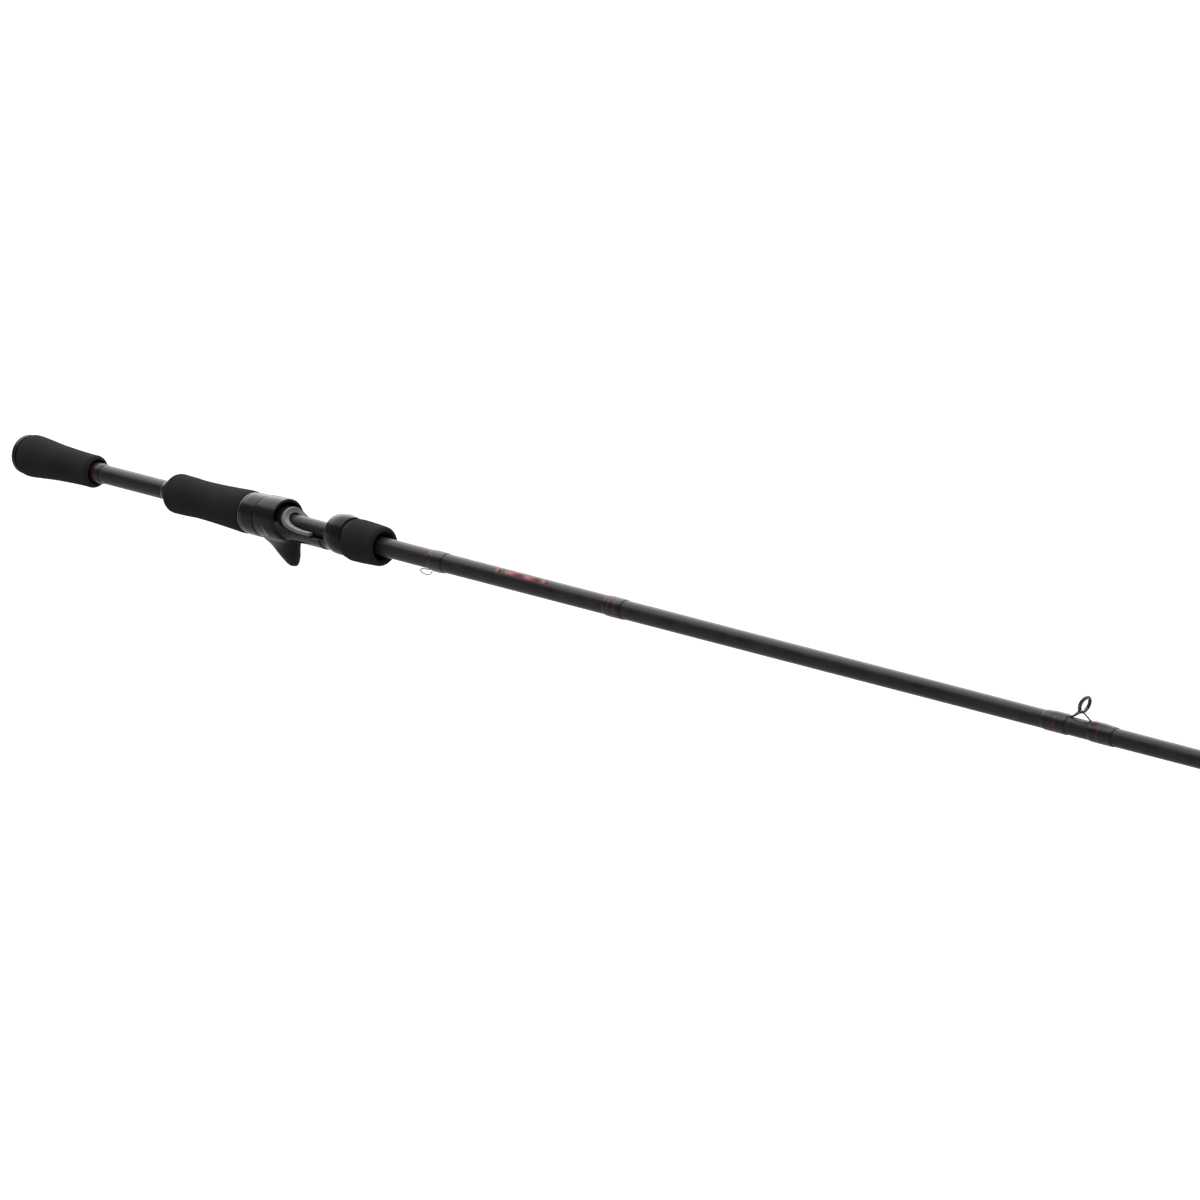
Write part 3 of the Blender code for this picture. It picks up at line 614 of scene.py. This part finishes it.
def trigger():
    """The finger trigger: it hugs the barrel's sides and narrows to a round tip."""
    root = HOOD_LIP - 0.0065
    sections = [  # station, level, half length, half width, and 1 for an oval or less for a squarer one
        (root + 0.0002, 0.0046, 0.0076, 0.0106, 0.50),
        (root, 0.0022, 0.0080, 0.0121, 0.40),
        (root + 0.0024, -0.0014, 0.0082, 0.0127, 0.40),
        (root + 0.0050, -0.0050, 0.0089, 0.0121, 0.45),
        (root + 0.0056, -0.0080, 0.0096, 0.0104, 0.55),
        (root + 0.0018, -0.0108, 0.0132, 0.0078, 0.75),
        (root + 0.0049, -0.0150, 0.0106, 0.0053, 0.80),
        (root + 0.0082, -0.0198, 0.0073, 0.0045, 0.80),
        (root + 0.0106, -0.0236, 0.0042, 0.0034, 0.90),
        (root + 0.0116, -0.0253, 0.0024, 0.0021, 1.00),
    ]
    rows = []
    for station, level, half_length, half_width, roundness in flowing(sections, 5):
        row = []
        for a in turns(64):
            x, y = squared_off(math.cos(a), roundness), squared_off(math.sin(a), roundness)
            row.append((station + half_length * x, half_width * y, level))
        rows.append(row)
    fin = swept("trigger", rows, True, False)
    core = BARREL_RADIUS - 0.0012
    ends = (HOOD_LIP - CUT_REACH, HOOD_LIP + CUT_REACH)
    return boolean(fin, lathe("core", [(x, core) for x in ends]), "DIFFERENCE")


def sleeve(name, start, end, radius):
    """A tube round the seat's bore."""
    return lathe(name, [(start, radius), (end, radius)], [(start, SEAT_BORE), (end, SEAT_BORE)], SEAT_SIDES)


def reel_seat():
    """One moulding: the shell with its hood and trigger, cut open for a reel's foot, and a threaded tube."""
    seat = boolean(seat_shell(), fixed_hood(), "UNION")
    boolean(seat, trigger(), "UNION")
    deck_end = SLIDE_START + 0.014  # under the sliding hood
    cut_deck(seat, 0.0, 0.0, deck_end)
    pocket_start, pocket_end = HOOD_LIP - 0.0100, HOOD_LIP + 0.012
    pocket = arch(POCKET_FLOOR, POCKET_ROOF, FIXED_POCKET_HALF)
    boolean(seat, slab("pocket", pocket, pocket_start, pocket_end, "end"), "DIFFERENCE")
    nose_start, nose_end = HOOD_LIP - 0.0120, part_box("foot_rail")[1].x
    sink = 0.00015  # the nose lies this much below the deck
    nose = sleeve("nose", nose_start, nose_end, BARREL_RADIUS - sink)
    boolean(seat, cut_deck(nose, NOSE_REACH, -sink, deck_end), "UNION")
    tube = sleeve("thread_tube", SEAT_SHOULDER - 0.002, SEAT_END, THREAD_RADIUS)
    boolean(seat, cut_deck(tube, 0.0, -0.0003, SLIDE_START + 0.0008), "UNION")
    seat.name = "reel_seat.fine"
    melted(seat, voxel=0.00030, rounds=5, keep=0.35)
    show(seat, SEAT_GLOSS, ["reel_seat"])


def foot_rail():
    """Grey rail that the reel's foot rests on: an arch over the blank with two level arms."""
    low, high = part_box("foot_rail")
    front = high.x + 0.01
    arch_thickness, arm_thickness = 0.0014, 0.0021
    under = deck_outline(NOSE_REACH + GAP, GAP, front)
    over = deck_outline(NOSE_REACH + GAP + arch_thickness, GAP + arm_thickness, front)
    strip = under[1:-2] + [(high.x, under[-2][1]), (high.x, over[-2][1])] + list(reversed(over[1:-2]))
    ends = (low.x - 0.002, high.x + 0.005)
    bore = SEAT_BORE + FIT
    rail = lathe("foot_rail.fine", [(x, BARREL_RADIUS) for x in ends], [(x, bore) for x in ends], SEAT_SIDES)
    boolean(rail, slab("strip", strip, -CUT_REACH, CUT_REACH, "side"), "INTERSECT")
    melted(rail, voxel=0.00013, rounds=4, keep=0.4)
    show(rail, RAIL_GREY, ["foot_rail"])


def sliding_hood():
    """The hood that clamps a reel's foot: a bellied ring with a pocket in its rear."""
    low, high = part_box("sliding_hood")
    length = high.x - low.x
    past = 0.002  # how far its cutters reach past its ends
    pocket_depth = 0.0085
    belly = [(0.0, 0.0107), (0.10, 0.0112), (0.32, 0.0118), (0.55, 0.0120), (0.80, 0.0117), (1.0, 0.0111)]
    outer = flowing([(low.x + share * length, radius) for share, radius in belly])
    hood = lathe("sliding_hood.fine", outer, None, SEAT_SIDES, SLIDE_LIFT)
    bore = THREAD_RADIUS + GAP
    drill = lathe("bore", [(low.x - past, bore), (high.x + past, bore)], None, SEAT_SIDES)
    boolean(hood, drill, "DIFFERENCE")
    pocket = arch(POCKET_FLOOR, POCKET_ROOF, SLIDE_POCKET_HALF)
    boolean(hood, slab("pocket", pocket, low.x - past, low.x + pocket_depth, "end"), "DIFFERENCE")
    melted(hood, voxel=0.00020, rounds=4, keep=0.35)
    show(hood, SEAT_GLOSS, ["sliding_hood"], "hood")


def lock_nut():
    """The nut under the foregrip: a flange that shows as a thin ring, and a plain body in the foam."""
    low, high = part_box("lock_nut")
    bore = THREAD_RADIUS + GAP
    flange = low.x + 0.0010
    wall = high.x - 0.0025
    edge = 0.0002
    outer = corner(low.x, high.y, edge, edge, 3) + corner(flange, high.y, -edge, edge, 3)
    outer += [(flange, NUT_RADIUS), (high.x - SOFT_EDGE, NUT_RADIUS), (high.x, NUT_RADIUS - SOFT_EDGE)]
    inner = [(low.x, bore + SOFT_EDGE), (low.x + SOFT_EDGE, bore), (wall, bore)]
    inner += [(wall, NUT_MOUTH), (high.x, NUT_MOUTH)]
    show(lathe("lock_nut.fine", outer, inner), NUT_PLASTIC, ["lock_nut"], "nut")


def foregrip():
    """Foam grip on the lock nut. It narrows a little to the front, where it stands clear of the blank."""
    low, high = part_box("foregrip")
    nut_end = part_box("lock_nut")[1].x + GAP
    nut_room = NUT_RADIUS + GAP
    rear, front = high.y, high.y - 0.0007
    rear_round, front_round = 0.0022, 0.0026
    middle = [(low.x + rear_round, rear), (low.x + 0.0070, rear), (low.x + 0.0150, rear - 0.0003)]
    middle.append((high.x - front_round, front))
    outer = corner(low.x, rear, rear_round, rear_round / 2)[:-1] + flowing(middle)
    outer += corner(high.x, front, -front_round, front_round, 7)[1:]
    inner = [(low.x, nut_room), (nut_end, nut_room), (nut_end, NUT_MOUTH - 0.0004)]
    inner.append((high.x - 0.0010, NUT_MOUTH))
    padded_grip("foregrip", outer, inner, "nut")


# --- blank and bindings ---------------------------------------------------------------------------


def blank():
    """The tapered tube, hollow from end to end."""
    low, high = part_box("blank")
    steps = 160
    butt_bore, tip_bore = 0.0046, 0.0004
    stations = [low.x + (high.x - low.x) * i / steps for i in range(steps + 1)]
    outer = [(x, blank_radius(x)) for x in stations]
    tube = lathe("blank.fine", outer, [(low.x, butt_bore), (high.x, tip_bore)], TUBE_SIDES)
    show(tube, CARBON, ["blank"])


def stretched_radius(angle, circle, half_width, top):
    """Where thread lies that is stretched over a round blank and a flat foot on top of it."""
    reach = math.hypot(half_width, top)
    edge = math.atan2(half_width, top)
    fall = math.acos(min(circle / reach, 1.0))
    turn = abs(angle)
    if turn <= edge:
        return max(circle, top / math.cos(turn))
    if turn <= edge + fall:
        return circle / math.cos(edge + fall - turn)
    return circle


def binding(node, cover, foot=None, foot_end=1):
    """Varnished thread bound round the blank, with sloping ends.

    foot is (half width, thickness, side) of what it binds, and side is 1 on the blank or -1 under it.
    foot_end is the end where the foot comes out: 1 at the tip's end, or -1 at the butt's.
    """
    low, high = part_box(node)
    start, end = low.x, high.x
    steps = 28
    thin_end, bore_gap = 0.00006, 0.00002
    angles = [2 * math.pi * (j / WRAP_SIDES - 0.5) for j in range(WRAP_SIDES)]
    half_width, thickness, side = foot or (0.0, 0.0, 1)
    rows = []
    for i in range(steps + 1):
        station = start + (end - start) * i / steps
        rim = min(station - start, end - station, WRAP_SLOPE) / WRAP_SLOPE
        meniscus = math.sin(math.pi / 2 * rim)
        circle = blank_radius(station) + thin_end + cover * meniscus
        radii = [circle] * WRAP_SIDES
        if foot:
            share = (station - start) / (end - start)
            depth = share if foot_end > 0 else 1 - share
            top = circle + (thickness + FIT) * min(1.0, depth * 2.2) * (0.35 + 0.65 * meniscus)
            radii = [stretched_radius(a, circle, half_width, top) for a in angles]
        rows.append([(station, r * math.sin(a), side * r * math.cos(a)) for r, a in zip(radii, angles)])
    for station in (end, start):
        bore = blank_radius(station) + bore_gap
        rows.append([(station, bore * math.sin(a), side * bore * math.cos(a)) for a in angles])
    show(swept(node + ".fine", rows, True, True), BLACK_THREAD, [node])


def red_band(name, station, width, cover):
    """A few turns of red thread on a binding."""
    start, end = station - width / 2, station + width / 2
    radius = blank_radius(station) + cover
    root = radius - 0.0001
    top, slope = radius + SKIN, width * 0.3
    outer = corner(start, top, slope, SKIN, 3) + corner(end, top, -slope, SKIN, 3)
    show(lathe(name, outer, [(start, root), (end, root)]), RED_THREAD)


def blank_marks():
    """A row of plain dashes on the blank ahead of the hook keeper, where a rod carries its rating."""
    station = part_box("keeper_wrap")[1].x + 0.0423
    toward = math.radians(30)  # they face up and to the side
    half_height = 0.0012
    across = 6  # steps round the blank
    dashes = [(0.0040, 0.0035), (0.0130, 0.0028), (0.0112, 0.0028), (0.0042, 0.0)]  # length and gap after it
    for index, (length, gap) in enumerate(dashes):
        half = half_height / blank_radius(station)
        angles = [half * (2 * j / across - 1) - toward for j in range(across + 1)]
        end = station + length
        rows = []
        for x, rise in ((station, -SKIN), (station, SKIN), (end, SKIN), (end, -SKIN)):
            reach = blank_radius(x) + rise
            rows.append([(x, reach * math.sin(a), reach * math.cos(a)) for a in angles])
        piece = swept(f"mark_{index + 1}", rows, False, True)
        show(piece, RED_PAINT)
        station += length + gap


def hook_keeper():
    """A small wire loop under the blank, its long end bound under the thread."""
    wire_radius = 0.00036
    wrap_low, wrap_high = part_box("keeper_wrap")
    loop_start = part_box("hook_keeper")[0].x + wire_radius
    under = -(blank_radius(wrap_low.x) + FIT + wire_radius)
    half_length, half_height, sag = 0.0043, 0.00155, 0.0005
    middle = loop_start + half_length
    points = [(wrap_high.x - 0.0050, 0.0, under), (wrap_low.x - 0.0008, 0.0, under)]
    steps = 14
    first, last = math.radians(80), math.radians(335)  # from its top, round the rear, to its front
    for i in range(steps + 1):
        a = first + (last - first) * i / steps
        drop = sag + half_height * (1 - math.sin(a))
        points.append((middle + half_length * math.cos(a), 0.0, under - drop))
    points.append((wrap_low.x - 0.0009, 0.0, under - 2 * wire_radius - GAP))
    show(tube_along("hook_keeper.fine", points, wire_radius), BRIGHT_WIRE, ["hook_keeper"])
    binding("keeper_wrap", KEEPER_COVER, (wire_radius, 2 * wire_radius, -1), -1)


# --- guides ---------------------------------------------------------------------------------------


def ceramic_ring(node, bore, width, tilt=0.0):
    """A polished ring with a rounded throat for the line. bore and width are of the ring's outer radius."""
    low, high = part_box(node)
    station, height = (low.x + high.x) / 2, (low.z + high.z) / 2
    outer = (high.y - low.y) / 2
    half = width * outer / 2
    thick = outer * (1 - bore)
    section = []
    for b in turns(20):
        section.append((outer - thick / 2 * (1 - math.cos(b)), half * squared_off(math.sin(b), 0.8)))
    show(hoop(node + ".fine", station, height, section, 72, tilt), CERAMIC, [node])
    return station, height, outer


def foot_plate(name, start, end, half_width, thickness):
    """A flat foot on the blank that thins and narrows to its end under the thread."""
    steps = 10
    base = blank_radius(min(start, end)) + FIT
    rows = []
    for i in range(steps + 1):
        share = i / steps
        station = start + (end - start) * share
        half = half_width * (1 - 0.45 * share)
        top_half = half * 0.8
        top = base + thickness * (1 - 0.7 * share)
        corners = ((-half, base), (half, base), (top_half, top), (-top_half, top))
        rows.append([(station, y, z) for y, z in corners])
    return swept(name, rows, True, False)


def guide(number, two_feet):
    """A guide: a ring on wire legs, with one or two feet bound to the blank."""
    name = f"guide_{number}"
    held = 1 - 2 * RING_THIN  # the ceramic ring's outer radius, of the frame's
    bore, width = RING_BORE / held, RING_WIDTH / held
    station, height, ring_outer = ceramic_ring(name + "_ring", bore, width, GUIDE_TILT)
    ring_radius = (ring_outer + FIT) / held
    thin = ring_radius * RING_THIN
    frame_radius = ring_radius - thin
    body = wire_loop(name + "_frame.fine", station, height, frame_radius, thin, GUIDE_TILT)
    foot_half = 0.0012 if two_feet else 0.0009
    wire_radius = 0.00046 if two_feet else 0.00037
    leg = height * 0.60  # from the ring to where its side legs meet the foot
    foot = height * 1.2 if two_feet else 0.0095
    tuck = 0.0010  # length of wire that lies in a foot
    base = blank_radius(station - leg) + FIT + wire_radius
    side_reach = frame_radius * math.sin(LEG_SPREAD)
    side_drop = frame_radius * math.cos(LEG_SPREAD)
    way = -1 if two_feet else 1
    for side in (-1, 1):
        top = leaned(station, height, 0.0, side * side_reach, -side_drop, GUIDE_TILT)
        knee = base + (height - side_drop - base) * 0.24
        bend = (station + way * leg * 0.72, side * foot_half * 1.15, knee)
        bottom = (station + way * leg, side * foot_half * 0.55, base)
        inward = (station + way * (leg + tuck), side * foot_half * 0.5, base)
        boolean(body, tube_along("leg", [top, bend, bottom, inward], wire_radius), "UNION")
    start, end = station + way * leg, station + way * (leg + foot)
    boolean(body, foot_plate("foot", start, end, foot_half, FOOT_THICKNESS), "UNION")
    if two_feet:
        front = station + leg * 0.5
        top = leaned(station, height, 0.0, 0.0, -frame_radius, GUIDE_TILT)
        bend = (station + leg * 0.3, 0.0, base + (height - frame_radius - base) * 0.4)
        bottom = (front, 0.0, base)
        inward = (front + tuck, 0.0, base)
        boolean(body, tube_along("leg", [top, bend, bottom, inward], wire_radius), "UNION")
        boolean(body, foot_plate("foot", front, front + foot, foot_half, FOOT_THICKNESS), "UNION")
    show(body, DARK_METAL, [name + "_frame"])
    bound = (foot_half, FOOT_THICKNESS, 1)
    binding(name + "_front_wrap", GUIDE_COVER, bound, -1)
    if two_feet:
        binding(name + "_rear_wrap", GUIDE_COVER, bound, 1)


def tip_top():
    """Tube on the blank's end, with a small ring held up by two side wires."""
    low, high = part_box("tip_frame")
    station, height, ring_outer = ceramic_ring("tip_ring", TIP_RING_BORE, TIP_RING_WIDTH)
    bore = blank_radius(low.x) + FIT
    wall = 0.0003
    outside = bore + wall
    tube_end = high.x - 0.0045
    outer = corner(low.x, outside, 0.0002, 0.0002, 3) + corner(tube_end, outside, -0.0004, 0.0003, 3)
    body = lathe("tip_frame.fine", outer, [(low.x, bore), (tube_end, bore)], TUBE_SIDES)
    loop_wire, leg_wire = 0.00036, 0.00034
    frame_radius = ring_outer + FIT + loop_wire
    boolean(body, wire_loop("tip_loop", station, height, frame_radius, loop_wire), "UNION")
    start = high.x - 0.0085
    for side in (-1, 1):
        points = [
            (start, side * (bore + 0.00020), 0.0),
            (start + 0.0030, side * (bore + 0.00035), 0.0004),
            (station, side * frame_radius * 0.92, height - frame_radius * 0.40),
        ]
        boolean(body, tube_along("leg", points, leg_wire), "UNION")
    show(body, DARK_METAL, ["tip_frame"])
    binding("tip_wrap", TIP_COVER)


# --- the rod --------------------------------------------------------------------------------------

TWO_FOOT_GUIDES = (8, 7, 6)
ONE_FOOT_GUIDES = (5, 4, 3, 2, 1)

blank()
butt_cap()
butt_grip()
binding("butt_wrap", WRAP_COVER)
thin_ring("rear_ring", SILVER)
rear_collar()
rear_grip()
thin_ring("seat_ring", SILVER)
reel_seat()
foot_rail()
sliding_hood()
thin_ring("slide_ring", NUT_PLASTIC, "hood")
lock_nut()
foregrip()
hook_keeper()
binding("trim_wrap", WRAP_COVER)
for number in TWO_FOOT_GUIDES:
    guide(number, True)
for number in ONE_FOOT_GUIDES:
    guide(number, False)
tip_top()

trim_low, trim_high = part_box("trim_wrap")
RED_BANDS = [  # name, station, width, height over the blank
    ("butt_wrap_band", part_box("butt_wrap")[1].x - 0.0031, 0.0008, 0.00040),
    ("keeper_wrap_band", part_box("keeper_wrap")[0].x + 0.0031, 0.0008, 0.00036),
    ("trim_wrap_band_1", trim_low.x + 0.0045, 0.0009, 0.00040),
    ("trim_wrap_band_2", trim_high.x - 0.0047, 0.0009, 0.00040),
    ("guide_8_band_1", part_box("guide_8_rear_wrap")[0].x + 0.0092, 0.0008, 0.00034),
    ("guide_8_band_2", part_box("guide_8_front_wrap")[1].x - 0.0094, 0.0008, 0.00034),
]
for name, station, width, cover in RED_BANDS:
    red_band(name, station, width, cover)
blank_marks()

# --- floor, light and camera ----------------------------------------------------------------------

FLOOR_SIZE = 60.0
FLOOR_DROP = 0.45  # the rod is seen in the air, well over the floor
WALL_LIGHT = 0.30
OVERHEAD_LIGHT = 5.2
LIGHT_MIDDLE = Vector((-0.30, 0.37, 0.88)).normalized()  # high, and a little behind the rod
LIGHT_EDGE, LIGHT_FULL = 0.53, 0.66  # cosines of the angles from its middle
CAMERA_AIM = Vector((0.5040, 0.0, 0.0018))
CAMERA_DISTANCE = 2.945
CAMERA_TURN = math.radians(44.27)  # between the view and the rod, seen from above
CAMERA_RISE = math.radians(14.68)
SENSOR_WIDTH = 36.0  # mm, as is the lens
LENS = 161.4


def floor():
    """A wide floor below the rod."""
    bpy.ops.mesh.primitive_plane_add(size=FLOOR_SIZE, location=(0.0, 0.0, cad_low.z - FLOOR_DROP))
    ground = bpy.context.object
    ground.name = "floor"
    ground.data.materials.append(plain_floor())


def sky():
    """A studio with one great soft light overhead, and dim walls."""
    world = bpy.data.worlds.new("studio")
    world.use_nodes = True
    tree = world.node_tree
    toward = add(tree, "TexCoord").outputs["Generated"]
    near = add(tree, "VectorMath", {0: toward, 1: LIGHT_MIDDLE}, operation="DOT_PRODUCT").outputs["Value"]
    overhead = {"Value": near, "From Min": LIGHT_EDGE, "From Max": LIGHT_FULL}
    overhead.update({"To Min": WALL_LIGHT, "To Max": OVERHEAD_LIGHT})
    light = add(tree, "MapRange", overhead, interpolation_type="SMOOTHSTEP").outputs["Result"]
    background = tree.nodes["Background"]
    background.inputs["Color"].default_value = (1.0, 1.0, 1.0, 1.0)
    tree.links.new(light, background.inputs["Strength"])
    bpy.context.scene.world = world
    bpy.context.scene.view_settings.view_transform = "Standard"


def camera():
    """Looks back along the rod from ahead and to its right, a little above it."""
    level = math.cos(CAMERA_RISE)
    back = Vector((math.cos(CAMERA_TURN) * level, -math.sin(CAMERA_TURN) * level, math.sin(CAMERA_RISE)))
    data = bpy.data.cameras.new("camera")
    data.sensor_width = SENSOR_WIDTH
    data.lens = LENS
    data.clip_end = 100.0
    made = new_piece("camera", data)
    made.location = CAMERA_AIM + back * CAMERA_DISTANCE
    made.rotation_mode = "QUATERNION"
    made.rotation_quaternion = (-back).to_track_quat("-Z", "Y")
    bpy.context.scene.camera = made


floor()
sky()
camera()
